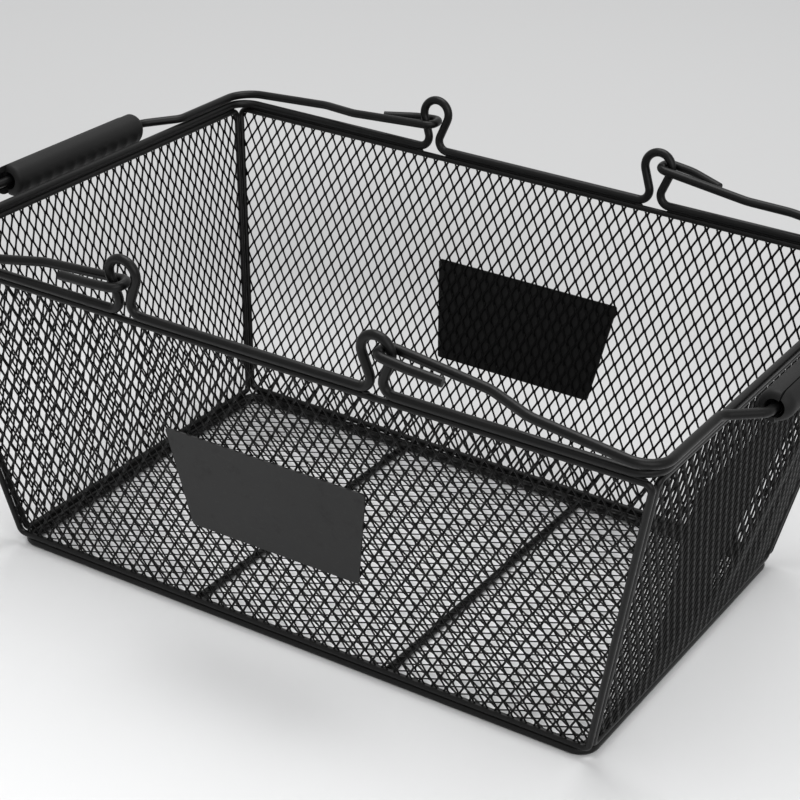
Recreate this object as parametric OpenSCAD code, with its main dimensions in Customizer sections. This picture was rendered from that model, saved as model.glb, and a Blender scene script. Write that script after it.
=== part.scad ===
// Wire locker basket: a flared basket of black expanded metal in wire frames,
// with a heavy rim wire, a base ring, two label plates and two drop handles.
// Millimetres. +Z is up, +X runs along the basket, -Y is the front.
// The origin is on the floor under the middle of the basket.

/* [Basket size] */
// Half of the length of the rim, to the middle of its wire
rim_half_x = 213.5; // [200:1:260]
// Half of the width of the rim, to the middle of its wire
rim_half_y = 146.3; // [130:1:180]
// Height of the rim above the floor, to the middle of its wire
rim_z = 183.3; // [160:1:240]
// How far each wall leans out between the base ring and the rim
flare = 35.2; // [26:1:42]
// Turning radius of the rim's corners
rim_corner_r = 13; // [10:1:20]
// Turning radius of the base ring's corners
base_corner_r = 9; // [7:1:14]

/* [Wires] */
// Thickness of the rim wire
rim_d = 4.9; // [3.5:0.1:6]
// Thickness of the base ring
base_d = 4.4; // [3.4:0.1:5.4]
// Thickness of the wires of the wall frames and the floor frame
frame_d = 3.4; // [2.6:0.1:4]
// Thickness of the two bars under the floor
bar_d = 4.4; // [3.6:0.1:5.2]
// Distance from the middle of the basket to each floor bar
bar_x = 60.4; // [40:1:90]
// Turning radius of the corners of the wall frames
frame_corner_r = 3.6; // [3.2:0.1:8]

/* [Seams between wires] */
// Gap from the rim down to the top wires of the wall frames
rim_seam = 0.3; // [0.2:0.1:0.8]
// Gap from the base ring up to the bottom wires of the wall frames
base_seam = 0.5; // [0.2:0.1:0.9]
// Gap between wires that lie side by side
wire_seam = 0.2; // [0.1:0.1:0.6]
// Gap between the two posts that stand side by side at each corner
post_gap = 1.2; // [0.2:0.1:4]
// Gap between a sheet and what it lies on
sheet_seam = 0.1; // [0.1:0.1:0.4]

/* [Expanded metal] */
// Thickness of the sheet
sheet_t = 1; // [0.8:0.1:1.4]
// Short way of one diamond of the net
mesh_short = 34; // [28:0.5:44]
// Long way of one diamond of the net
mesh_long = 56; // [46:1:70]
// Width of the strands
strand_w = 2.4; // [1.6:0.2:3.4]
// Width of the closed edge round each panel
edge_w = 1.6; // [1.2:0.2:2.4]
// How far the floor net reaches out over the middle of the floor frame's wire
floor_lap = 0.8; // [0:0.2:1.4]

/* [Label plates] */
// Half of the width of a label plate at its top edge
plate_top_half = 59.9; // [40:1:80]
// Half of the width of a label plate at its bottom edge
plate_bottom_half = 50.9; // [35:1:75]
// Height of a label plate along the wall
plate_h = 59.7; // [40:1:80]
// Height of the lower edge of a label plate above the base ring, along the wall
plate_low = 60.3; // [45:0.1:75]
// How far a label plate sits to the right of the middle
plate_shift = 1.6; // [-5:0.5:5]
// Thickness of a label plate
plate_t = 1; // [0.8:0.1:1.6]
// Radius of the corners of a label plate
plate_corner_r = 1.5; // [0.5:0.5:5]

/* [Handle eyes in the rim] */
// Distance from the middle of the basket to each eye
eye_x = 72.65; // [60:1:95]
// Radius of an eye, to the middle of its wire
eye_r = 8.2; // [7.5:0.1:11]
// Height of the middle of an eye above the rim
eye_rise = 21.2; // [19:0.1:26]
// Half of the distance between the two wires in the neck of an eye
neck_half = 3.55; // [3:0.1:4.5]
// Turning radius where the rim bends up into the neck of an eye
neck_r = 6; // [5:0.5:7.5]
// How far the eyes lean outwards, in degrees
eye_lean = 5; // [0:0.5:6]

/* [Handles] */
// Thickness of the handle wire
handle_d = 4.9; // [3.5:0.1:5.6]
// Height of the left handle's pin above the rim
left_pin_rise = 15.5; // [14:0.5:20]
// Height of the right handle's pin above the rim
right_pin_rise = 22.3; // [18:0.1:23.5]
// How far the left handle's pins lie outside the middle of their eyes
left_pin_out = 0; // [0:0.5:3]
// How far the right handle's pins lie outside the middle of their eyes
right_pin_out = 2.6; // [0:0.1:3]
// Inside width of the hairpin that hooks an eye
hairpin_gap = 7.2; // [6.6:0.1:8.6]
// Turning radius of the two bends of the hairpin
hairpin_r = 5; // [4:0.2:5.6]
// Length of the hairpin's free leg, from the pin
free_leg = 35.5; // [28:0.5:44]
// Distance from the pin to the place where the free leg turns in
free_leg_straight = 16; // [15:0.5:20]
// Gap between the end of the back free leg and the handle's main wire
back_leg_seam = 0.25; // [0.2:0.05:1]
// Gap between the end of the front free leg and the handle's main wire
front_leg_seam = 5.5; // [0.5:0.5:6.5]
// How far outside the rim's ends the ends of the handles lie
end_overhang = 0.8; // [0:0.1:3]
// How far outside the rim the handles lie along the front
front_overhang = 3.8; // [0:0.1:5]
// How far outside the rim the handles lie along the back
back_overhang = 2.2; // [0:0.1:5]
// Length of the shallow bend that takes the handle out over the rim
side_jog = 24; // [18:1:34]
// Distance from the basket's corner to the start of that shallow bend
side_jog_start = 63; // [50:1:80]
// Turning radius of the handle's corners
handle_corner_r = 15; // [10:1:22]
// Turning radius of the handle's shallow bends
handle_bend_r = 20; // [12:1:30]
// Gap between the folded handle and the rim that it lies on
rest_gap = 0.3; // [0.2:0.1:1]

/* [Grips] */
// Length of the outer shell of a grip
outer_l = 118; // [100:1:130]
// Length of the inner shell of a grip
inner_l = 112; // [96:1:130]
// Thickness of a grip
grip_d = 16.8; // [14:0.2:20]
// Radius of the rounded ends of the outer shell
outer_end_r = 8; // [5:0.5:8]
// Radius of the rounded ends of the inner shell
inner_end_r = 6; // [4:0.5:7]
// How far the straight wire runs on past half the length of the outer shell
grip_lead = 7; // [5:0.5:12]
// How far the outer shells lie towards the front
outer_slide = 2.5; // [0:0.5:4]
// How far the left inner shell lies towards the back
left_inner_slide = 3.2; // [0:0.2:6]
// How far the right inner shell lies towards the front
right_inner_slide = 5; // [0:0.2:6]
// How far the grip stands out from the handle's end wire
grip_out = 15.5; // [13:0.5:24]
// Length along the rim of the bend that leads out to the grip
grip_jog = 19; // [15:1:26]
// Clearance between the handle wire and the bore of the grip
grip_fit = 0.15; // [0.1:0.05:0.4]
// Width of the hollow mouth at each end of a grip
mouth_d = 10.4; // [8:0.2:12]
// Depth of the hollow mouth
mouth_depth = 10; // [3:0.5:14]
// Gap between the two shells of a grip
shell_seam = 0.4; // [0.3:0.1:0.8]
// How far the seam lies outside the middle of the grip
seam_shift = 2; // [1.5:0.5:3]
// Height of the finger ribs
rib_h = 0.6; // [0.4:0.1:1.4]
// Width of the finger ribs
rib_w = 1.6; // [1:0.2:3]
// Height of the upper ends of the ribs above the middle of the grip
rib_top = 1.5; // [-2:0.5:4]
// Distance from one finger rib to the next
rib_pitch = 9.6; // [7:0.2:14]

/* [Hidden] */
$fn = 48;

steel = [0.06, 0.06, 0.065];
mesh_steel = [0.12, 0.12, 0.13];
plate_steel = [0.2, 0.2, 0.21];
plastic = [0.16, 0.17, 0.17];

// How far a straight wire runs into a bend, and how much thinner the bend is
bend_lap = 0.1;
bend_thinning = 0.04;
// Steps in each rounded corner of a sheet
corner_steps = 4;
// Smallest radius in the corner of a net's inner field
field_corner_r = 0.4;

// The base ring and the walls between it and the rim
base_z = base_d / 2;
base_half_x = rim_half_x - flare;
base_half_y = rim_half_y - flare;
wall_rise = rim_z - base_z;
wall_l = sqrt(wall_rise * wall_rise + flare * flare);
wall_tilt = atan2(flare, wall_rise);
wall_spread = flare / wall_l;

// The wall frames: heights are measured along the wall from the base ring
frame_low = base_d / 2 + base_seam + frame_d / 2;
frame_high = wall_l - rim_d / 2 - rim_seam - frame_d / 2;
side_half_y = base_half_y - frame_d - post_gap;

// The floor: its frame lies inside the base ring, level with the bars
floor_inset = base_d / 2 + wire_seam + frame_d / 2;
floor_half_x = base_half_x - floor_inset;
floor_half_y = base_half_y - floor_inset;
floor_z = bar_d - frame_d / 2;
floor_corner_r = base_corner_r - floor_inset;
floor_top = bar_d + sheet_seam;

// The eyes: one straight leg joins the neck bend to the round eye
neck_centre = [-(neck_half + neck_r), neck_r];
leg_span = norm([neck_centre[0], eye_rise - neck_r]);
leg_reach = neck_r + eye_r;
leg_l = sqrt(leg_span * leg_span - leg_reach * leg_reach);
leg_angle = atan2(eye_rise - neck_r, -neck_centre[0]) + atan2(leg_reach, leg_l);

// The hairpins: their middle follows the leaning eye at its mean height
hairpin_mid = rim_half_y + tan(eye_lean) * eye_rise;
hairpin_half = (hairpin_gap + handle_d) / 2;
corner_u = rim_half_x + end_overhang - eye_x;
grip_u = corner_u + grip_out;
grip_wire_half = outer_l / 2 + grip_lead;
rest_rise = rim_d / 2 + rest_gap + handle_d / 2;
left_tilt = atan2(left_pin_rise - rest_rise, corner_u);
right_tilt = atan2(right_pin_rise - rest_rise, corner_u);

// Direction, in degrees, from one point to another
function heading(p, q) = atan2(q[1] - p[1], q[0] - p[0]);

// Change of direction, in degrees, kept between -180 and 180
function turn(a, b) = let(t = b - a) t > 180 ? t - 360 : t < -180 ? t + 360 : t;

// Points in reverse order, mirrored across the middle of the handle
function mirrored(list) = [for (i = [len(list) - 1 : -1 : 0]) [list[i][0], -list[i][1], list[i][2]]];

// Straight wire from p to q in the XY plane, which runs on a little into the bends
module straight(p, q, d) {
    translate([p[0], p[1], 0])
        rotate([0, 0, heading(p, q)])
            rotate([0, 90, 0])
                translate([0, 0, -bend_lap])
                    cylinder(h = norm(q - p) + 2 * bend_lap, d = d);
}

// Bent wire in the XY plane: round about c, from angle a over the angle sweep.
// Wire gets slightly thinner where it is bent.
module bend(c, r, a, sweep, d) {
    translate([c[0], c[1], 0])
        rotate([0, 0, sweep < 0 ? a + sweep : a])
            rotate_extrude(angle = abs(sweep))
                translate([r, 0])
                    circle(d = d - bend_thinning);
}

// Wire through the points [x, y, radius], with each corner bent to its radius.
// A closed wire runs on from the last point to the first.
module wire(points, d, closed = false) {
    n = len(points);
    first = closed ? 0 : 1;
    last = closed ? n - 1 : n - 2;
    function at(i) = [points[(i + n) % n][0], points[(i + n) % n][1]];
    function swing(i) = turn(heading(at(i - 1), at(i)), heading(at(i), at(i + 1)));
    function bent(i) = closed || (i > 0 && i < n - 1);
    function setback(i) = bent(i) ? points[(i + n) % n][2] * tan(abs(swing(i)) / 2) : 0;
    function unit(i) = (at(i + 1) - at(i)) / norm(at(i + 1) - at(i));
    for (i = [0 : closed ? n - 1 : n - 2]) {
        straight(at(i) + unit(i) * setback(i), at(i + 1) - unit(i) * setback(i + 1), d);
    }
    for (i = [first : last]) {
        r = points[i][2];
        side = swing(i) > 0 ? 1 : -1;
        into = heading(at(i - 1), at(i));
        start = at(i) - unit(i - 1) * setback(i);
        centre = start + side * r * [-sin(into), cos(into)];
        bend(centre, r, into - side * 90, swing(i), d);
    }
}

// Stands a wall's own plane on the base ring: x along the wall, y up the wall
module on_wall(half) {
    translate([0, -half, base_z])
        rotate([90 + wall_tilt, 0, 0])
            children();
}

// Puts a wall part that is drawn for the front on one of the four sides
module on_side(side) {
    if (side == "front") on_wall(base_half_y) children();
    if (side == "back") mirror([0, 1, 0]) on_wall(base_half_y) children();
    if (side == "right") rotate([0, 0, 90]) on_wall(base_half_x) children();
    if (side == "left") mirror([1, 0, 0]) rotate([0, 0, 90]) on_wall(base_half_x) children();
}

// Half of the distance between a wall's posts, at a height along the wall
function wall_half(half, height) = half + wall_spread * height;

// Outline of a wall, drawn in from the middle of its frame wires by inset
function wall_outline(half, inset) =
    let(side = inset * sqrt(1 + wall_spread * wall_spread))
    let(low = frame_low + inset, high = frame_high - inset)
    [[-wall_half(half, low) + side, low], [wall_half(half, low) - side, low],
     [wall_half(half, high) - side, high], [-wall_half(half, high) + side, high]];

// Outline of a rectangle
function box_outline(half_x, half_y) =
    [[-half_x, -half_y], [half_x, -half_y], [half_x, half_y], [-half_x, half_y]];

// Outline with its corners rounded, each in a few short steps on the arc
function rounded(outline, r) =
    let(n = len(outline))
    [for (i = [0 : n - 1])
        let(p = outline[i], into = heading(outline[(i + n - 1) % n], p))
        let(sweep = turn(into, heading(p, outline[(i + 1) % n])))
        let(back = r * tan(sweep / 2))
        let(centre = p - back * [cos(into), sin(into)] + r * [-sin(into), cos(into)])
        for (k = [0 : corner_steps])
            let(a = into - 90 + sweep * k / corner_steps)
            centre + r * [cos(a), sin(a)]];

// Points of an outline with one turning radius for all
function with_radius(outline, r) = [for (p = outline) [p[0], p[1], r]];

// Frame of one wall: four wires in one piece
module wall_frame(half) {
    wire(with_radius(wall_outline(half, 0), frame_corner_r), frame_d, closed = true);
}

// Diamond holes of the net over a field, with the long way along y
module diamonds(half_x, low, high) {
    hole_x = mesh_short / 2 - strand_w * norm([mesh_short, mesh_long]) / mesh_long / 2;
    hole_y = hole_x * mesh_long / mesh_short;
    columns = ceil(half_x / mesh_short);
    rows = ceil((high - low) / mesh_long);
    mid = (low + high) / 2;
    for (shift = [0, 1]) {
        for (i = [-columns : columns]) {
            for (j = [-rows : rows]) {
                x = (i + shift / 2) * mesh_short;
                y = mid + (j + shift / 2) * mesh_long;
                if (abs(x) < half_x + hole_x && y > low - hole_y && y < high + hole_y)
                    translate([x, y])
                        polygon([[-hole_x, 0], [0, -hole_y], [hole_x, 0], [0, hole_y]]);
            }
        }
    }
}

// Sheet of expanded metal: an outline, its inner field and the diamonds in it
module net(outline, field, corner_r, half_x, low, high) {
    translate([0, 0, -sheet_t / 2])
        linear_extrude(sheet_t)
            difference() {
                polygon(rounded(outline, corner_r));
                intersection() {
                    polygon(rounded(field, max(corner_r - edge_w, field_corner_r)));
                    diamonds(half_x, low, high);
                }
            }
}

// Net of one wall, inside its frame
module wall_net(half) {
    inset = frame_d / 2 + wire_seam;
    net(wall_outline(half, inset), wall_outline(half, inset + edge_w), frame_corner_r - inset,
        wall_half(half, frame_high), frame_low, frame_high);
}

// Label plate, drawn on the outside of a wall's net
module plate() {
    low = plate_low;
    high = plate_low + plate_h;
    translate([plate_shift, 0, sheet_t / 2 + sheet_seam])
        linear_extrude(plate_t)
            polygon(rounded([[-plate_bottom_half, low], [plate_bottom_half, low],
                             [plate_top_half, high], [-plate_top_half, high]], plate_corner_r));
}

// One long side of the rim: a straight wire with an eye bent up at each handle
module rim_side() {
    foot = -neck_centre[0];
    end = rim_half_x - rim_corner_r;
    straight([-end, 0], [-eye_x - foot, 0], rim_d);
    straight([-eye_x + foot, 0], [eye_x - foot, 0], rim_d);
    straight([eye_x + foot, 0], [end, 0], rim_d);
    for (x = [-eye_x, eye_x]) {
        translate([x, 0, 0])
            eye();
    }
}

// Eye: neck bend, straight leg and round head, the same on both sides
module eye() {
    leg_start = neck_centre + neck_r * [sin(leg_angle), -cos(leg_angle)];
    leg_end = leg_start + leg_l * [cos(leg_angle), sin(leg_angle)];
    for (m = [0, 1]) {
        mirror([m, 0, 0]) {
            bend(neck_centre, neck_r, -90, leg_angle, rim_d);
            straight(leg_start, leg_end, rim_d);
        }
    }
    bend([0, eye_rise], eye_r, 90 - leg_angle, 2 * leg_angle, rim_d);
}

// Rim wire: two long sides with eyes, four corners and two plain ends
module rim_wire() {
    color(steel)
        translate([0, 0, rim_z]) {
            for (m = [0, 1]) {
                mirror([0, m, 0])
                    translate([0, -rim_half_y, 0])
                        rotate([90 + eye_lean, 0, 0])
                            rim_side();
                mirror([m, 0, 0])
                    straight([rim_half_x, rim_corner_r - rim_half_y],
                             [rim_half_x, rim_half_y - rim_corner_r], rim_d);
            }
            for (mx = [0, 1], my = [0, 1]) {
                mirror([mx, 0, 0])
                    mirror([0, my, 0])
                        bend([rim_half_x - rim_corner_r, rim_half_y - rim_corner_r],
                             rim_corner_r, 0, 90, rim_d);
            }
        }
}

// Base ring: the wire that the basket stands on
module base_ring() {
    color(steel)
        translate([0, 0, base_z])
            wire(with_radius(box_outline(base_half_x, base_half_y), base_corner_r), base_d, closed = true);
}

module front_frame() { color(steel) on_side("front") wall_frame(base_half_x); }
module back_frame() { color(steel) on_side("back") wall_frame(base_half_x); }
module left_frame() { color(steel) on_side("left") wall_frame(side_half_y); }
module right_frame() { color(steel) on_side("right") wall_frame(side_half_y); }

// Floor frame: lies inside the base ring and carries the floor net
module floor_frame() {
    color(steel)
        translate([0, 0, floor_z])
            wire(with_radius(box_outline(floor_half_x, floor_half_y), floor_corner_r), frame_d, closed = true);
}

// Floor bar: crosses from one side of the floor frame to the other
module floor_bar() {
    reach = floor_half_y - frame_d / 2 - wire_seam;
    color(steel)
        translate([0, 0, bar_d / 2])
            straight([bar_x, -reach], [bar_x, reach], bar_d);
}

module left_floor_bar() { mirror([1, 0, 0]) floor_bar(); }
module right_floor_bar() { floor_bar(); }

module front_mesh() { color(mesh_steel) on_side("front") wall_net(base_half_x); }
module back_mesh() { color(mesh_steel) on_side("back") wall_net(base_half_x); }
module left_mesh() { color(mesh_steel) on_side("left") wall_net(side_half_y); }
module right_mesh() { color(mesh_steel) on_side("right") wall_net(side_half_y); }

// Floor net: lies on the floor frame and the bars, with the long way along x
module floor_mesh() {
    half_x = floor_half_x + floor_lap;
    half_y = floor_half_y + floor_lap;
    color(mesh_steel)
        translate([0, 0, floor_top + sheet_t / 2])
            rotate([0, 0, 90])
                net(box_outline(half_y, half_x), box_outline(half_y - edge_w, half_x - edge_w),
                    floor_corner_r, half_y, -half_x, half_x);
}

module front_plate() { color(plate_steel) on_side("front") plate(); }
module back_plate() { color(plate_steel) on_side("back") plate(); }

// Route of half a handle, from the free end to the middle of the grip.
// The first number is the distance from the pin, the second runs along it.
function half_route(leg_seam, overhang) =
    let(outer = hairpin_mid + hairpin_half, inner = hairpin_mid - hairpin_half)
    let(jog = corner_u - side_jog_start, handle_side = rim_half_y + overhang)
    [[free_leg, inner + handle_d + leg_seam, 0],
     [free_leg_straight, outer, handle_bend_r],
     [0, outer, hairpin_r],
     [0, inner, hairpin_r],
     [jog - side_jog, inner, handle_bend_r],
     [jog, handle_side, handle_bend_r],
     [corner_u, handle_side, handle_corner_r],
     [corner_u, grip_wire_half + grip_jog, handle_bend_r / 2],
     [grip_u, grip_wire_half, handle_bend_r / 2]];

// Lays a handle's own flat plane from its pin down to the rim, on the right
module on_handle(pin_out, pin_rise, tilt) {
    translate([eye_x + pin_out, 0, rim_z + pin_rise])
        rotate([0, tilt, 0])
            children();
}

// Puts a handle part on the left, at that handle's pin height
module on_left_handle() {
    mirror([1, 0, 0])
        on_handle(left_pin_out, left_pin_rise, left_tilt)
            children();
}

// Puts a handle part on the right, at that handle's pin height
module on_right_handle() {
    on_handle(right_pin_out, right_pin_rise, right_tilt)
        children();
}

// Handle wire: one bent wire with a hairpin at each end
module handle_wire() {
    wire(concat(half_route(back_leg_seam, back_overhang),
                mirrored(half_route(front_leg_seam, front_overhang))), handle_d);
}

module left_handle_wire() { color(steel) on_left_handle() handle_wire(); }
module right_handle_wire() { color(steel) on_right_handle() handle_wire(); }

// Round bar with rounded ends along y, the shape that a shell is cut from
module grip_body(length, end_r) {
    rotate([90, 0, 0])
        rotate_extrude()
            difference() {
                union() {
                    translate([0, -length / 2 + end_r])
                        square([grip_d / 2, length - 2 * end_r]);
                    translate([0, -length / 2])
                        square([grip_d / 2 - end_r, length]);
                    for (s = [-1, 1]) {
                        translate([grip_d / 2 - end_r, s * (length / 2 - end_r)])
                            circle(r = end_r);
                    }
                }
                translate([-grip_d, -length])
                    square([grip_d, 2 * length]);
            }
}

// Room inside a shell for the handle wire, with a hollow mouth at each end
module grip_bore(length) {
    rotate([90, 0, 0]) {
        cylinder(h = 2 * length, d = handle_d + 2 * grip_fit, center = true);
        for (m = [0, 1]) {
            mirror([0, 0, m])
                translate([0, 0, length / 2 - mouth_depth])
                    cylinder(h = length, d = mouth_d);
        }
    }
}

// Row of ribs round a grip, on its lower half alone
module finger_ribs() {
    ribs = floor((inner_l / 2 - inner_end_r - rib_w) / rib_pitch);
    difference() {
        for (i = [-ribs : ribs]) {
            translate([0, i * rib_pitch, 0])
                rotate([90, 0, 0])
                    cylinder(h = rib_w, r = grip_d / 2 + rib_h, center = true);
        }
        translate([-grip_d, -inner_l, rib_top])
            cube([2 * grip_d, 2 * inner_l, grip_d]);
    }
}

// Inner shell of a grip, on the finger side, with a row of ribs
module grip_inner() {
    difference() {
        union() {
            grip_body(inner_l, inner_end_r);
            finger_ribs();
        }
        grip_bore(inner_l);
        translate([seam_shift - shell_seam / 2, -inner_l, -grip_d])
            cube([2 * grip_d, 2 * inner_l, 2 * grip_d]);
    }
}

// Outer shell of a grip, on the palm side, smooth
module grip_outer() {
    difference() {
        grip_body(outer_l, outer_end_r);
        grip_bore(outer_l);
        translate([seam_shift + shell_seam / 2 - 2 * grip_d, -outer_l, -grip_d])
            cube([2 * grip_d, 2 * outer_l, 2 * grip_d]);
    }
}

// Puts a shell on the handle's straight end wire, this far towards the back
module at_grip(slide) { translate([grip_u, slide, 0]) children(); }

module left_grip_inner() { color(plastic) on_left_handle() at_grip(left_inner_slide) grip_inner(); }
module left_grip_outer() { color(plastic) on_left_handle() at_grip(-outer_slide) grip_outer(); }
module right_grip_inner() { color(plastic) on_right_handle() at_grip(-right_inner_slide) grip_inner(); }
module right_grip_outer() { color(plastic) on_right_handle() at_grip(-outer_slide) grip_outer(); }

rim_wire();
base_ring();
front_frame();
back_frame();
left_frame();
right_frame();
floor_frame();
left_floor_bar();
right_floor_bar();
front_mesh();
back_mesh();
left_mesh();
right_mesh();
floor_mesh();
front_plate();
back_plate();
left_handle_wire();
right_handle_wire();
left_grip_inner();
left_grip_outer();
right_grip_inner();
right_grip_outer();
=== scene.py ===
# %% [markdown]
# # A wire basket in black expanded metal
# The basket is read in as a fixed frame of named parts, in metres, with its origin on the floor.
# Each later cell either gives a part its finish or makes a fuller piece that stands for it.
# The middle of the work is the five nets: about seven thousand diamonds of expanded metal.

# %% Read the frame
import math
import random

import bmesh
import bpy
from mathutils import Matrix, Vector


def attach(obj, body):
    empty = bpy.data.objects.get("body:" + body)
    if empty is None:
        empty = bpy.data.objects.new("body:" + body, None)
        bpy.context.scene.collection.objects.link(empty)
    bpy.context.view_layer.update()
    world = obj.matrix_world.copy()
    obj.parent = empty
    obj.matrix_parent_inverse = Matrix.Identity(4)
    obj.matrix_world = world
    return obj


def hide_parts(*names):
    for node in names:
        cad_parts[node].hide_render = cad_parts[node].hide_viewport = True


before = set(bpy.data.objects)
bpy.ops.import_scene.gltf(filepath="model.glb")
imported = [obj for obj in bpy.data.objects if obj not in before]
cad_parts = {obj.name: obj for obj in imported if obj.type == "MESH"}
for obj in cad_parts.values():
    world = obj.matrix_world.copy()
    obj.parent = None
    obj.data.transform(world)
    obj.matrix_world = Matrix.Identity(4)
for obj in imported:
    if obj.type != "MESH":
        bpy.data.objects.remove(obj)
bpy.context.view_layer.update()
MM = 0.001
random.seed(7)
print("parts in the frame:", len(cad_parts))

# %% [markdown]
# ## The camera
# A camera is a place, a direction and a lens. Here all three were fitted to the picture of the basket, so
# they are typed in as numbers. The camera also rolls a little, which is why its own right and up
# directions are turned about the direction it looks in.

# %% Camera
PLACE = Vector((518.386, -876.447, 612.292)) * MM
AZIMUTH = math.radians(30.681)
ELEVATION = math.radians(26.85)
ROLL = math.radians(2.394)
LENS = 94.115

ahead = Vector((-math.sin(AZIMUTH) * math.cos(ELEVATION), math.cos(AZIMUTH) * math.cos(ELEVATION),
                -math.sin(ELEVATION)))
level = Vector((math.cos(AZIMUTH), math.sin(AZIMUTH), 0))
upright = level.cross(ahead)
right = math.cos(ROLL) * level + math.sin(ROLL) * upright
up = math.cos(ROLL) * upright - math.sin(ROLL) * level

lens = bpy.data.cameras.new("camera")
lens.lens = LENS
lens.sensor_width = 36
lens.clip_start = 0.02
lens.clip_end = 60
camera = bpy.data.objects.new("camera", lens)
bpy.context.scene.collection.objects.link(camera)
turned = Matrix((right, up, -ahead)).transposed().to_4x4()
camera.matrix_world = Matrix.Translation(PLACE) @ turned
bpy.context.scene.camera = camera
bpy.context.scene.view_settings.view_transform = "Standard"
print("camera at", [round(c, 3) for c in PLACE])

# %% [markdown]
# ## Working as by hand
# Blender's operators act on whatever is selected. A few small helpers keep that honest: one clears the
# selection, one selects pieces, one selects by place, and one puts a finished piece on its body.

# %% Selection helpers
def clear():
    """Leaves nothing selected and nothing open for editing."""
    active = bpy.context.view_layer.objects.active
    if active is not None and active.mode != "OBJECT":
        bpy.ops.object.mode_set(mode="OBJECT")
    bpy.ops.object.select_all(action="DESELECT")


def choose(*pieces):
    """Selects these pieces alone, and makes the first one active."""
    clear()
    for piece in pieces:
        piece.select_set(True)
    bpy.context.view_layer.objects.active = pieces[0]
    return pieces[0]


def pick(kind, test):
    """Selects the open mesh's vertices, edges or faces whose middle passes a test."""
    bpy.ops.mesh.select_mode(type=kind)
    bpy.ops.mesh.select_all(action="DESELECT")
    work = bmesh.from_edit_mesh(bpy.context.edit_object.data)
    parts = {"VERT": work.verts, "EDGE": work.edges, "FACE": work.faces}[kind]
    found = 0
    for part in parts:
        corners = [part] if kind == "VERT" else part.verts
        middle = sum((v.co for v in corners), Vector()) / len(corners)
        if test(middle):
            part.select_set(True)
            found += 1
    work.select_flush_mode()
    bmesh.update_edit_mesh(bpy.context.edit_object.data)
    return found


def apply(piece, kind, **settings):
    """Gives a piece a modifier with these settings, and applies it."""
    choose(piece)
    made = piece.modifiers.new(kind.lower(), kind)
    for name, value in settings.items():
        setattr(made, name, value)
    bpy.ops.object.modifier_apply(modifier=made.name)


def copy(piece, name):
    """A copy of a piece with a mesh of its own."""
    made = piece.copy()
    made.data = piece.data.copy()
    made.name = name
    bpy.context.scene.collection.objects.link(made)
    return made


def put(piece, place):
    """Moves a piece by a matrix, and leaves its object at the origin."""
    choose(piece)
    piece.matrix_world = place
    bpy.ops.object.transform_apply(location=True, rotation=True, scale=True)


# %% [markdown]
# ## Finishes as sums
# A material is a net of nodes, and plain arithmetic in it takes many of them. The class below wraps one
# output of a node, so that `0.4 + 0.1 * cloud` in Python adds the Math nodes by itself.

# %% A value in a finish
class Value:
    """One output of a node. Sums and products with it add Math nodes to its material."""

    def __init__(self, tree, socket):
        self.tree = tree
        self.socket = socket

    def math(self, operation, first, second):
        made = self.tree.nodes.new("ShaderNodeMath")
        made.operation = operation
        for entry, value in zip(made.inputs, (first, second)):
            if isinstance(value, Value):
                self.tree.links.new(value.socket, entry)
            else:
                entry.default_value = value
        return Value(self.tree, made.outputs[0])

    def __add__(self, other):
        return self.math("ADD", self, other)

    def __radd__(self, other):
        return self.math("ADD", other, self)

    def __sub__(self, other):
        return self.math("SUBTRACT", self, other)

    def __rsub__(self, other):
        return self.math("SUBTRACT", other, self)

    def __mul__(self, other):
        return self.math("MULTIPLY", self, other)

    def __rmul__(self, other):
        return self.math("MULTIPLY", other, self)


class Finish:
    """A material that is built up node by node."""

    def __init__(self, name):
        self.material = bpy.data.materials.new(name)
        self.material.use_nodes = True
        self.tree = self.material.node_tree
        self.tree.nodes.clear()

    def node(self, kind, settings, entries, output=0):
        """Adds one node: its settings first, then the values or links of its sockets."""
        made = self.tree.nodes.new(kind)
        for name, value in settings.items():
            if name == "stops":
                ramp = made.color_ramp
                for element, (place, grey) in zip(ramp.elements, value):
                    element.position = place
                    element.color = (grey, grey, grey, 1)
            else:
                setattr(made, name, value)
        for name, value in entries.items():
            if isinstance(value, Value):
                self.tree.links.new(value.socket, made.inputs[name])
            else:
                made.inputs[name].default_value = value
        return Value(self.tree, made.outputs[output]) if made.outputs else None

    def place(self):
        """The point on the piece, in metres."""
        return self.node("ShaderNodeTexCoord", {}, {}, "Object")

    def noise(self, scale, detail=2, roughness=0.5):
        """Soft noise from 0 to 1, with about this many lumps to the metre."""
        return self.node("ShaderNodeTexNoise", {}, {"Vector": self.place(), "Scale": scale, "Detail": detail,
                                                     "Roughness": roughness}, "Fac")

    def step(self, value, low, high):
        """A value turned into 0 below low and 1 above high."""
        return self.node("ShaderNodeValToRGB", {"stops": ((low, 0), (high, 1))}, {"Fac": value}, "Color")

    def blend(self, factor, first, second):
        """A colour between two others."""
        return self.node("ShaderNodeMix", {"data_type": "RGBA"},
                         {0: factor, 6: first, 7: second}, 2)

    def bump(self, height, distance, strength=1.0):
        """The surface's slope from a height."""
        return self.node("ShaderNodeBump", {}, {"Height": height, "Distance": distance, "Strength": strength})

    def finish(self, shader):
        self.node("ShaderNodeOutputMaterial", {}, {"Surface": shader})
        return self.material


def dress(piece, material):
    """Gives a piece one material and no other."""
    piece.data.materials.clear()
    piece.data.materials.append(material)


# %% [markdown]
# ## Powder coat
# Every metal part is dipped or sprayed in one black powder coat and baked. It melts into a satin skin with
# a faint orange peel, a little duller in some places than in others, and it catches pale dust. The same
# function makes the coat for wires, nets and plates, with the peel at the scale that each of them shows.
# The two plates wear that same black, but their colours differ: the front plate's is painted paler, as a painted
# reflection of the pale floor that it faces, and the back plate's is painted darker, as painted shade on its inner
# face.

# %% Powder coat finishes
def grey(value, warm=0.0):
    """A grey with a touch of warmth."""
    return (value * (1 + warm), value, value * (1 - warm), 1)


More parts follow.
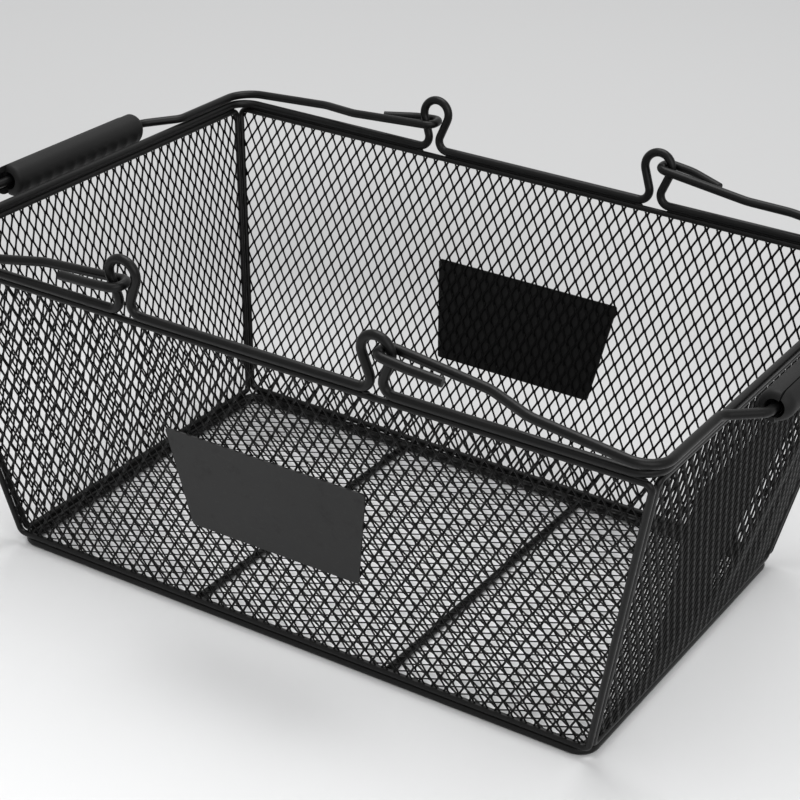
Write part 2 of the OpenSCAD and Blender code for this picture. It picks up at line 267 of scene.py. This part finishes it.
def powder_coat(name, dark, pale, rough, shine, peel, depth):
    coat = Finish(name)
    cloud = coat.noise(34, 3)
    dust = coat.step(coat.noise(420, 4, 0.62), 0.56, 0.74)
    worn = coat.step(coat.noise(95, 5, 0.66), 0.58, 0.72)
    colour = coat.blend(0.35 * cloud, grey(dark), grey(pale))
    colour = coat.blend(0.5 * dust, colour, grey(1.5 * pale, 0.02))
    roughness = rough + 0.16 * (cloud - 0.5) + 0.14 * worn
    relief = coat.noise(peel, 2) + 0.35 * coat.noise(3.1 * peel, 1)
    shader = coat.node("ShaderNodeBsdfPrincipled", {}, {
        "Base Color": colour, "Roughness": roughness, "Specular IOR Level": shine,
        "Normal": coat.bump(relief, depth)})
    return coat.finish(shader)


wire_coat = powder_coat("powder_coat_wire", 0.002, 0.0065, 0.34, 0.22, 900, 0.00004)
net_coat = powder_coat("powder_coat_net", 0.0012, 0.003, 0.42, 0.12, 1400, 0.00003)
# Painted reflection: the front plate's coat is painted several times paler than the wires' black, standing for the
# pale floor that it reflects.
front_coat_painted_reflection = powder_coat("powder_coat_front_painted_reflection", 0.0088, 0.014, 0.46, 0.32, 1100, 0.00003)
# Painted shade: the back plate's coat is the plate coat painted darker, standing for the shade on its inner face
# inside the basket.
back_coat_painted_shade = powder_coat("powder_coat_back_painted_shade", 0.0026, 0.006, 0.55, 0.20, 1100, 0.00003)

# %% [markdown]
# ## Moulded grip plastic
# The grips are two shells of matt black plastic. The mould is spark-eroded, which leaves an even fine grain,
# and hands polish the palm side a little. Grain is a fine noise in the bump, and the polish a lower roughness.

# %% Grip plastic
grip = Finish("grip_plastic_matt")
handled = grip.noise(26, 3)
grain = grip.noise(2600, 2)
grip_colour = grip.blend(handled, grey(0.0054), grey(0.0108))
grip_shader = grip.node("ShaderNodeBsdfPrincipled", {}, {
    "Base Color": grip_colour, "Roughness": 0.58 - 0.14 * handled + 0.05 * grain, "Specular IOR Level": 0.20,
    "Normal": grip.bump(grain + 0.6 * grip.noise(900, 2), 0.00004)})
grip_plastic = grip.finish(grip_shader)

WIRES = ["rim_wire", "base_ring", "front_frame", "back_frame", "left_frame", "right_frame", "floor_frame",
         "left_floor_bar", "right_floor_bar", "left_handle_wire", "right_handle_wire"]
for name in WIRES:
    dress(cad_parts[name], wire_coat)
# The front plate takes the coat that has the painted reflection in its colour.
dress(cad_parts["front_plate"], front_coat_painted_reflection)
# The back plate takes the coat that has the painted shade in its colour.
dress(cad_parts["back_plate"], back_coat_painted_shade)
for name in ["left_grip_inner", "left_grip_outer", "right_grip_inner", "right_grip_outer"]:
    dress(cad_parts[name], grip_plastic)
print("wires with their coat:", len(WIRES))

# %% [markdown]
# ## Expanded metal
# Expanded metal starts as a flat sheet. A press slits it in staggered rows and pulls it open, so each slit
# becomes a diamond and nothing is cut away. Where two slits overlap, the metal stays whole: that is a
# knuckle, two strands wide, and four strands leave it. Pulling also tips every strand a little the same way,
# which is why one wall looks open and the next nearly shut from the same place. So one knuckle with four half
# strands is the whole pattern: it is modelled for each sheet with that sheet's own tip, then repeated along
# both ways of the sheet, cut to size and given its thickness last.

# %% One knuckle with its four half strands
SHORT_WAY = 7.35 * MM
LONG_WAY = 12.0 * MM
STRAND = 1.17 * MM
KNUCKLE_RISE = 0.6 * MM
SHEET = 0.5 * MM


def knuckle(name, tip, strand):
    """A knuckle two strands wide, whose left side stands up by its tip and its right side down."""
    clear()
    bpy.ops.mesh.primitive_grid_add(x_subdivisions=2, y_subdivisions=1, size=2)
    piece = bpy.context.active_object
    piece.name = name
    bpy.ops.object.mode_set(mode="EDIT")
    bpy.ops.transform.resize(value=(strand, KNUCKLE_RISE, 1))
    for side in (-1, 1):
        pick("VERT", lambda p: p.x * side > strand / 2)
        bpy.ops.transform.translate(value=(0, 0, -side * tip))
    for across in (-1, 1):
        for along in (-1, 1):
            start = Vector((across * strand / 2, along * KNUCKLE_RISE, -across * tip / 2))
            end = Vector((across * SHORT_WAY / 4, along * LONG_WAY / 4, 0))
            pick("EDGE", lambda p: (p - start).length < 0.01 * MM)
            bpy.ops.mesh.extrude_edges_move(TRANSFORM_OT_translate={"value": end - start})
    bpy.ops.object.mode_set(mode="OBJECT")
    return piece


# %% [markdown]
# ## A flat sheet of net
# The rows of diamonds are staggered by half a diamond both ways, so the knuckle and one shifted copy make
# the unit that repeats. Two Array modifiers lay it out, and they weld strand to strand as they go.

# %% Lay out a flat sheet
def sheet(name, columns, rows, tip, strand=STRAND):
    """Flat net about the origin: this many diamonds across and along."""
    first = knuckle(name, tip, strand)
    second = copy(first, name + "_shifted")
    put(second, Matrix.Translation((SHORT_WAY / 2, LONG_WAY / 2, 0)))
    choose(first, second)
    bpy.ops.object.join()
    apply(first, "ARRAY", count=columns, use_relative_offset=False, use_constant_offset=True,
          constant_offset_displace=(SHORT_WAY, 0, 0), use_merge_vertices=True, merge_threshold=0.02 * MM)
    apply(first, "ARRAY", count=rows, use_relative_offset=False, use_constant_offset=True,
          constant_offset_displace=(0, LONG_WAY, 0), use_merge_vertices=True, merge_threshold=0.02 * MM)
    return first


CUT_NEAR = 0.001 * MM


def trim(piece, point, outward):
    """Cuts away the part of an open mesh on the outward side of a plane."""
    bpy.ops.mesh.select_all(action="SELECT")
    bpy.ops.mesh.bisect(plane_co=point, plane_no=outward, clear_outer=True, clear_inner=False,
                        use_fill=False, threshold=CUT_NEAR)
    bpy.ops.mesh.select_all(action="SELECT")
    bpy.ops.mesh.delete_loose(use_verts=True, use_edges=True, use_faces=False)


# %% [markdown]
# ## The walls' own planes
# Each wall leans out from the base ring to the rim. The numbers below are the basket's main sizes, and from
# them come the outline of a wall, measured along its slope, and the matrix that stands it in its place.

# %% Sizes of the walls
RIM_HALF_X = 213.5 * MM
RIM_HALF_Y = 146.3 * MM
RIM_Z = 183.3 * MM
FLARE = 35.2 * MM
BASE_Z = 2.2 * MM
BASE_HALF_X = RIM_HALF_X - FLARE
BASE_HALF_Y = RIM_HALF_Y - FLARE
WALL_TILT = math.atan2(FLARE, RIM_Z - BASE_Z)
WALL_LENGTH = math.hypot(FLARE, RIM_Z - BASE_Z)
WALL_SPREAD = FLARE / WALL_LENGTH
FRAME_LOW = 4.4 * MM
FRAME_HIGH = 180.04 * MM
SIDE_HALF_Y = BASE_HALF_Y - 4.6 * MM
NET_INSET = 0.9 * MM
print("wall length along its slope: %.1f mm" % (WALL_LENGTH / MM))


def wall_place(turn, reach):
    """Stands a flat wall on the base ring, on the side that the turn names."""
    lean = Matrix.Rotation(math.radians(90) + WALL_TILT, 4, "X")
    return Matrix.Rotation(math.radians(turn), 4, "Z") @ Matrix.Translation((0, -reach, BASE_Z)) @ lean


# %% [markdown]
# ## Waves in the sheet
# A stretched sheet is never quite flat. Seen nearly edge on, a wall's net opens and shuts with slopes of a few
# degrees, so the right wall gets the waves of the real one: it swells a little inside its frame, and a faint
# crease crosses it. Proportional editing pushes chosen points out and draws their neighbours along.

# %% Push waves into a flat net
def wave(piece, chosen, rise, reach, falloff="SMOOTH"):
    """Pushes the chosen points out by a rise, and those within reach of them by less."""
    choose(piece)
    bpy.ops.object.mode_set(mode="EDIT")
    found = pick("VERT", chosen)
    bpy.ops.transform.translate(value=(0, 0, rise), use_proportional_edit=True,
                                proportional_edit_falloff=falloff, proportional_size=reach)
    bpy.ops.object.mode_set(mode="OBJECT")
    print("wave of %.1f mm from %d points" % (rise / MM, found))


SWELL = 3.8 * MM
SWELL_REACH = 44 * MM
SWELL_ENDS = 30 * MM
CREASE = 2.5 * MM
CREASE_REACH = 28 * MM
CREASE_LOW = Vector((18, 54, 0)) * MM
CREASE_HIGH = Vector((70, 128, 0)) * MM


def wave_right(piece, half):
    """The waves of the right wall's net."""
    inner = half - SWELL_REACH
    wave(piece, lambda p: abs(p.x) < inner + WALL_SPREAD * p.y and SWELL_ENDS < p.y < FRAME_HIGH - SWELL_ENDS,
         SWELL, SWELL_REACH, "LINEAR")
    along = (CREASE_HIGH - CREASE_LOW).normalized()

    def on_crease(p):
        off = Vector((p.x, p.y, 0)) - CREASE_LOW
        share = off.dot(along)
        return 0 < share < (CREASE_HIGH - CREASE_LOW).length and (off - share * along).length < 2.5 * MM
    wave(piece, on_crease, CREASE, CREASE_REACH)


# %% Cut and stand the four wall nets
def wall_net(name, half, turn, reach, tip, strand):
    half_low = half + WALL_SPREAD * FRAME_LOW
    half_high = half + WALL_SPREAD * FRAME_HIGH
    columns = math.ceil(half_high / SHORT_WAY) + 1
    rows = math.ceil((FRAME_HIGH - FRAME_LOW) / LONG_WAY) + 2
    piece = sheet(name, 2 * columns, rows, tip, strand)
    first_row = FRAME_LOW - 1.8 * MM
    put(piece, Matrix.Translation((-columns * SHORT_WAY, first_row - LONG_WAY, 0)))
    bpy.ops.object.mode_set(mode="EDIT")
    trim(piece, (0, FRAME_LOW + NET_INSET, 0), (0, -1, 0))
    trim(piece, (0, FRAME_HIGH - NET_INSET, 0), (0, 1, 0))
    slope = Vector((FRAME_HIGH - FRAME_LOW, -(half_high - half_low), 0)).normalized()
    for side in (-1, 1):
        outward = Vector((side * slope.x, slope.y, 0))
        edge = Vector((side * half_low, FRAME_LOW, 0)) - outward * NET_INSET
        trim(piece, edge, outward)
    bpy.ops.object.mode_set(mode="OBJECT")
    if name == "right_net":
        wave_right(piece, half)
    apply(piece, "SOLIDIFY", thickness=SHEET, offset=0, use_even_offset=True)
    put(piece, wall_place(turn, reach))
    choose(piece)
    bpy.ops.object.shade_smooth()
    dress(piece, net_coat)
    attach(piece, "basket")
    return piece


SIDES = (("front", BASE_HALF_X, 0, BASE_HALF_Y, -0.2, 1.17), ("right", SIDE_HALF_Y, 90, BASE_HALF_X, -0.46, 1.17),
         ("back", BASE_HALF_X, 180, BASE_HALF_Y, -0.5, 1.22), ("left", SIDE_HALF_Y, -90, BASE_HALF_X, -0.45, 0.97))
for side, half, turn, reach, tip, strand in SIDES:
    net = wall_net(side + "_net", half, turn, reach, tip * MM, strand * MM)
    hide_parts(side + "_mesh")
    print(net.name, "has", len(net.data.polygons), "faces")

# %% [markdown]
# ## The floor net
# The floor is the same metal, laid flat on the floor frame and the two bars, with its long way along
# the basket. Its edge lies on the frame wire, so it is cut a little past the middle of that wire.

# %% Floor net
FLOOR_HALF_X = 174.2 * MM
FLOOR_HALF_Y = 107.0 * MM
FLOOR_LAP = 0.8 * MM
FLOOR_CORNER = 4.9 * MM
FLOOR_MIDDLE = 5.0 * MM


def floor_net():
    columns = math.ceil(FLOOR_HALF_Y / SHORT_WAY) + 1
    rows = math.ceil(FLOOR_HALF_X / LONG_WAY) + 1
    piece = sheet("floor_net", 2 * columns, 2 * rows, 0.3 * MM)
    put(piece, Matrix.Translation((-columns * SHORT_WAY, -rows * LONG_WAY, 0)))
    put(piece, Matrix.Rotation(math.radians(90), 4, "Z"))
    bpy.ops.object.mode_set(mode="EDIT")
    for side in (-1, 1):
        trim(piece, (side * (FLOOR_HALF_X + FLOOR_LAP), 0, 0), (side, 0, 0))
        trim(piece, (0, side * (FLOOR_HALF_Y + FLOOR_LAP), 0), (0, side, 0))
        for end in (-1, 1):
            corner = Vector((side * (FLOOR_HALF_X - FLOOR_CORNER), end * (FLOOR_HALF_Y - FLOOR_CORNER), 0))
            outward = Vector((side, end, 0)).normalized()
            trim(piece, corner + outward * (FLOOR_CORNER + FLOOR_LAP), outward)
    bpy.ops.object.mode_set(mode="OBJECT")
    apply(piece, "SOLIDIFY", thickness=SHEET, offset=0, use_even_offset=True)
    put(piece, Matrix.Translation((0, 0, FLOOR_MIDDLE)))
    choose(piece)
    bpy.ops.object.shade_smooth()
    dress(piece, net_coat)
    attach(piece, "basket")
    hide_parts("floor_mesh")
    return piece


floor_piece = floor_net()
print("floor net has", len(floor_piece.data.polygons), "faces")

# %% [markdown]
# ## Beads of coat in the seams
# The wires lie on each other and are welded here and there. The coat then runs into the seam between them
# and closes nearly all of it. A bead is a thin round bar that fills the seam, so no light comes through. It
# is modelled once, a metre long, and each seam takes a copy that is shortened to its length. At the foot of
# the back wall the coat left small slots, which shine like dashes against the pale floor.

# %% Beads along the walls
BEAD_R = 0.75 * MM
RIM_SEAM = WALL_LENGTH - 2.6 * MM
BASE_SEAM = 2.45 * MM
EYE_FOOT = (63.5 * MM, 81.8 * MM)


def bead_pattern():
    clear()
    bpy.ops.mesh.primitive_cylinder_add(vertices=10, radius=BEAD_R, depth=1, rotation=(0, math.radians(90), 0))
    piece = bpy.context.active_object
    bpy.ops.object.transform_apply(location=True, rotation=True, scale=True)
    return piece


def wall_beads(name, turn, reach, height, spans):
    """One piece with a bead in each span of a wall's seam."""
    beads = []
    for start, end in spans:
        bead = copy(pattern, name)
        put(bead, Matrix.Translation(((start + end) / 2, height, 0)) @ Matrix.Diagonal((end - start, 1, 1, 1)))
        beads.append(bead)
    choose(*beads)
    if len(beads) > 1:
        bpy.ops.object.join()
    piece = beads[0]
    put(piece, wall_place(turn, reach))
    choose(piece)
    bpy.ops.object.shade_smooth_by_angle(angle=math.radians(50))
    dress(piece, wire_coat)
    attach(piece, "basket")
    return piece


def slotted(start, end, low, high):
    """Spans from start to end, with small slots left open between low and high."""
    spans = []
    here = start
    slot = low
    while slot < high:
        spans.append((here, slot))
        here = slot + random.uniform(2, 5) * MM
        slot = here + random.uniform(2, 7) * MM
    spans.append((here, end))
    return spans


pattern = bead_pattern()
for side, half, turn, reach, tip, strand in SIDES:
    end = half + WALL_SPREAD * FRAME_HIGH - 3 * MM
    if side in ("front", "back"):
        near, far = EYE_FOOT
        spans = [(-end, -far), (-near, near), (far, end)]
    else:
        spans = [(-end, end)]
    wall_beads(side + "_rim_bead", turn, reach, RIM_SEAM, spans)
    foot = half - 3 * MM
    spans = [(-foot, foot)]
    if side == "back":
        spans = slotted(-foot, foot, 26 * MM, 108 * MM)
    made = wall_beads(side + "_base_bead", turn, reach, BASE_SEAM, spans)
    print(made.name, "in", len(spans), "lengths")
bpy.data.objects.remove(pattern)

# %% [markdown]
# ## Welds
# Each corner's two posts, and each floor bar's ends, are joined by small welds. A weld is a puddle of metal
# that froze round: an icosphere, flattened and pushed about a little so no two look quite alike.

# %% Weld blobs
def weld_pattern():
    clear()
    bpy.ops.mesh.primitive_ico_sphere_add(subdivisions=3, radius=1)
    piece = bpy.context.active_object
    bpy.ops.object.mode_set(mode="EDIT")
    bpy.ops.mesh.select_all(action="SELECT")
    bpy.ops.transform.vertex_random(offset=0.07, seed=3)
    bpy.ops.mesh.vertices_smooth(factor=0.5, repeat=2)
    bpy.ops.object.mode_set(mode="OBJECT")
    return piece


def weld(place, size, spin):
    """One weld at a place, with these half sizes, turned about its upright."""
    blob = copy(pattern, "weld")
    put(blob, Matrix.Translation(place) @ Matrix.Rotation(spin, 4, "Z") @ Matrix.Diagonal((*size, 1)))
    return blob


pattern = weld_pattern()
welds = []
for side_x in (-1, 1):
    for side_y in (-1, 1):
        for height in (14, 74, 128, 176):
            h = (height + random.uniform(-4, 4)) * MM
            place = (side_x * (BASE_HALF_X + WALL_SPREAD * h), side_y * (BASE_HALF_Y - 2.3 * MM + WALL_SPREAD * h),
                     BASE_Z + h * math.cos(WALL_TILT))
            welds.append(weld(place, (1.1 * MM, 1.5 * MM, 3 * MM), random.uniform(-0.2, 0.2)))
for x in (-60.4, 60.4):
    for side_y in (-1, 1):
        welds.append(weld((x * MM, side_y * 105.2 * MM, 2.4 * MM), (2.6 * MM, 1.5 * MM, 1.3 * MM),
                          random.uniform(-0.2, 0.2)))
drop_at = wall_place(-90, BASE_HALF_X) @ Vector((-65.1 * MM, 74.7 * MM, 0))
welds.append(weld(drop_at, (0.6 * MM, 2.3 * MM, 2.6 * MM), 0))
for x, side_y in ((-81.1, 1), (64.3, 1), (-96.5, -1), (66.3, -1)):
    welds.append(weld((x * MM, side_y * (RIM_HALF_Y - 0.8 * MM), RIM_Z - 2.7 * MM),
                      (2.4 * MM, 1.3 * MM, 1.1 * MM), 0))
choose(*welds)
bpy.ops.object.join()
weld_piece = welds[0]
weld_piece.name = "frame_welds"
choose(weld_piece)
bpy.ops.object.shade_smooth()
dress(weld_piece, wire_coat)
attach(weld_piece, "basket")
print("welds:", len(welds), "with", len(weld_piece.data.polygons), "faces")
bpy.data.objects.remove(pattern)

# %% [markdown]
# ## Finger shells of the grips
# A grip is two moulded halves that close round the wire. The half towards the basket is the finger side: it is
# deeper below, and low ribs keep the fingers from sliding. One pitch of ribbed tube is shaped and repeated,
# its ends are rounded into a hollow mouth, and the tube is split along the seam, as the mould splits it.

# %% Sizes of a finger shell
SHELL_R = 8.4 * MM
RIB_PITCH = 9.6 * MM
RIB_COUNT = 11
RIB_HIGH = 0.4 * MM
SEAM_OUT = 1.8 * MM
MIDDLE = (0, 0, 0)


def swell(test, across, down):
    """Widens the chosen points about the middle of the grip."""
    pick("VERT", test)
    bpy.ops.transform.resize(value=(across, 1, down), center_override=MIDDLE)


# %% Build and split a shell
def finger_shell(name, side, centre, tilt, deep):
    clear()
    bpy.ops.mesh.primitive_cylinder_add(vertices=56, radius=SHELL_R, depth=RIB_PITCH, end_fill_type="NOTHING",
                                        rotation=(math.radians(90), 0, 0))
    piece = bpy.context.active_object
    piece.name = name
    bpy.ops.object.transform_apply(location=True, rotation=True, scale=True)
    bpy.ops.object.mode_set(mode="EDIT")
    pick("EDGE", lambda p: abs(p.y) < 0.01 * MM)
    bpy.ops.mesh.subdivide(number_cuts=5)
    rise = 1 + RIB_HIGH / SHELL_R / 2
    swell(lambda p: abs(p.y) < 0.2 * RIB_PITCH and p.z < 0.1 * SHELL_R, rise, rise)
    swell(lambda p: abs(p.y) < 0.01 * MM and p.z < 0.1 * SHELL_R, rise, rise)
    swell(lambda p: p.z < 0, 1, deep)
    bpy.ops.object.mode_set(mode="OBJECT")
    apply(piece, "ARRAY", count=RIB_COUNT, use_relative_offset=False, use_constant_offset=True,
          constant_offset_displace=(0, RIB_PITCH, 0), use_merge_vertices=True, merge_threshold=0.02 * MM)
    half = RIB_COUNT * RIB_PITCH / 2
    put(piece, Matrix.Translation((0, RIB_PITCH / 2 - half, 0)))
    bpy.ops.object.mode_set(mode="EDIT")
    for end in (-1, 1):
        pick("EDGE", lambda p: end * p.y > half - 0.01 * MM)
        for along, scale in ((1.2, 0.975), (1.0, 0.93), (0.7, 0.84), (0.3, 0.72), (-8, 1), (0, 0.45)):
            bpy.ops.mesh.extrude_edges_move(TRANSFORM_OT_translate={"value": (0, end * along * MM, 0)})
            bpy.ops.transform.resize(value=(scale, 1, scale), center_override=(0, 0, 0))
    bpy.ops.mesh.select_mode(type="EDGE")
    bpy.ops.mesh.select_all(action="DESELECT")
    bpy.ops.mesh.select_non_manifold(extend=False)
    bpy.ops.mesh.bridge_edge_loops()
    bpy.ops.mesh.select_all(action="SELECT")
    lean = math.radians(tilt)
    outward = (side * math.cos(lean), 0, -math.sin(lean))
    bpy.ops.mesh.bisect(plane_co=(side * SEAM_OUT, 0, 0), plane_no=outward, clear_outer=True,
                        clear_inner=False, use_fill=True, threshold=CUT_NEAR)
    bpy.ops.mesh.select_all(action="SELECT")
    bpy.ops.mesh.normals_make_consistent(inside=False)
    bpy.ops.object.mode_set(mode="OBJECT")
    put(piece, Matrix.Translation(centre * MM))
    choose(piece)
    bpy.ops.object.shade_smooth_by_angle(angle=math.radians(35))
    dress(piece, grip_plastic)
    print(name, "has", len(piece.data.polygons), "faces")
    return piece


left_shell = finger_shell("left_finger_shell", -1, Vector((-229.4, 3.2, 187.4)), 3.7, 1.19)
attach(left_shell, "left_handle")
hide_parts("left_grip_inner")
right_shell = finger_shell("right_finger_shell", 1, Vector((231.3, -5.0, 186.8)), 6.2, 1.0)
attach(right_shell, "right_handle")
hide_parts("right_grip_inner")

# %% [markdown]
# ## Floor and light
# The basket stands on a pale sweep of paper. Its light is soft and comes mostly from above, so the wires are
# lit along their tops and the plates pick up the paper in front of them, the front plate partly through its
# painted paler coat. The sweep is one big plane whose grey is set darker away from the basket. Under the basket an
# oval is painted brighter, as painted light that lifts the basket's shadow, and behind its back left a soft dark
# patch is painted on, as a painted shadow.

# %% Pale floor
clear()
bpy.ops.mesh.primitive_plane_add(size=40)
ground = bpy.context.active_object
ground.name = "pale_floor"
paper = Finish("pale_paper")
spot = paper.node("ShaderNodeMapping", {}, {"Vector": paper.place(), "Location": (0, 0.3, 0)})
reach = paper.node("ShaderNodeVectorMath", {"operation": "LENGTH"}, {0: spot}, "Value")
# The paper's grey is set darker further from the basket.
far = paper.step(reach, 0.3, 0.66)
# Painted light: an oval under the basket is painted full white, brighter than the paper round it, to lift the
# basket's own shadow on the floor.
under = paper.node("ShaderNodeMapping", {}, {"Vector": paper.place(), "Scale": (2.0, 3.2, 1)})
painted_light_pool = paper.node("ShaderNodeVectorMath", {"operation": "LENGTH"}, {0: under}, "Value")
near = paper.blend(paper.step(painted_light_pool, 0.28, 0.38), grey(1.0, -0.005), grey(0.775, -0.005))
tone = paper.blend(far, near, grey(0.50, -0.004))
# Painted shadow: a soft dark patch is painted into the paper's grey behind the basket's back left.
painted_shadow_centre = paper.node("ShaderNodeMapping", {}, {"Vector": paper.place(), "Location": (0.26, -0.36, 0)})
painted_shadow_reach = paper.node("ShaderNodeVectorMath", {"operation": "LENGTH"}, {0: painted_shadow_centre}, "Value")
tone = paper.blend(0.16 - 0.16 * paper.step(painted_shadow_reach, 0.06, 0.24), tone, grey(0.0))
paper_shader = paper.node("ShaderNodeBsdfPrincipled", {}, {"Base Color": tone, "Roughness": 0.9})
dress(ground, paper.finish(paper_shader))

# %% World and lamps
world = bpy.data.worlds.new("soft_room")
bpy.context.scene.world = world
world.use_nodes = True
room = world.node_tree
room.nodes.clear()
seen = room.nodes.new("ShaderNodeBackground")
seen.inputs["Color"].default_value = grey(0.62)
lit = room.nodes.new("ShaderNodeBackground")
lit.inputs["Color"].default_value = grey(1.0)
lit.inputs["Strength"].default_value = 0.67
path = room.nodes.new("ShaderNodeLightPath")
mixed = room.nodes.new("ShaderNodeMixShader")
out = room.nodes.new("ShaderNodeOutputWorld")
room.links.new(path.outputs["Is Camera Ray"], mixed.inputs[0])
room.links.new(lit.outputs[0], mixed.inputs[1])
room.links.new(seen.outputs[0], mixed.inputs[2])
room.links.new(mixed.outputs[0], out.inputs[0])


def lamp(name, place, target, size, power):
    made = bpy.data.lights.new(name, "AREA")
    made.shape = "SQUARE"
    made.size = size
    made.energy = power
    holder = bpy.data.objects.new(name, made)
    bpy.context.scene.collection.objects.link(holder)
    holder.location = place
    holder.rotation_euler = (Vector(target) - Vector(place)).to_track_quat("-Z", "Y").to_euler()


lamp("overhead", (-0.2, 0.4, 2.2), (0, 0, 0.05), 1.6, 33)
lamp("front_fill", (1.9, -1.2, 1.6), (0, 0, 0.1), 2.2, 24)
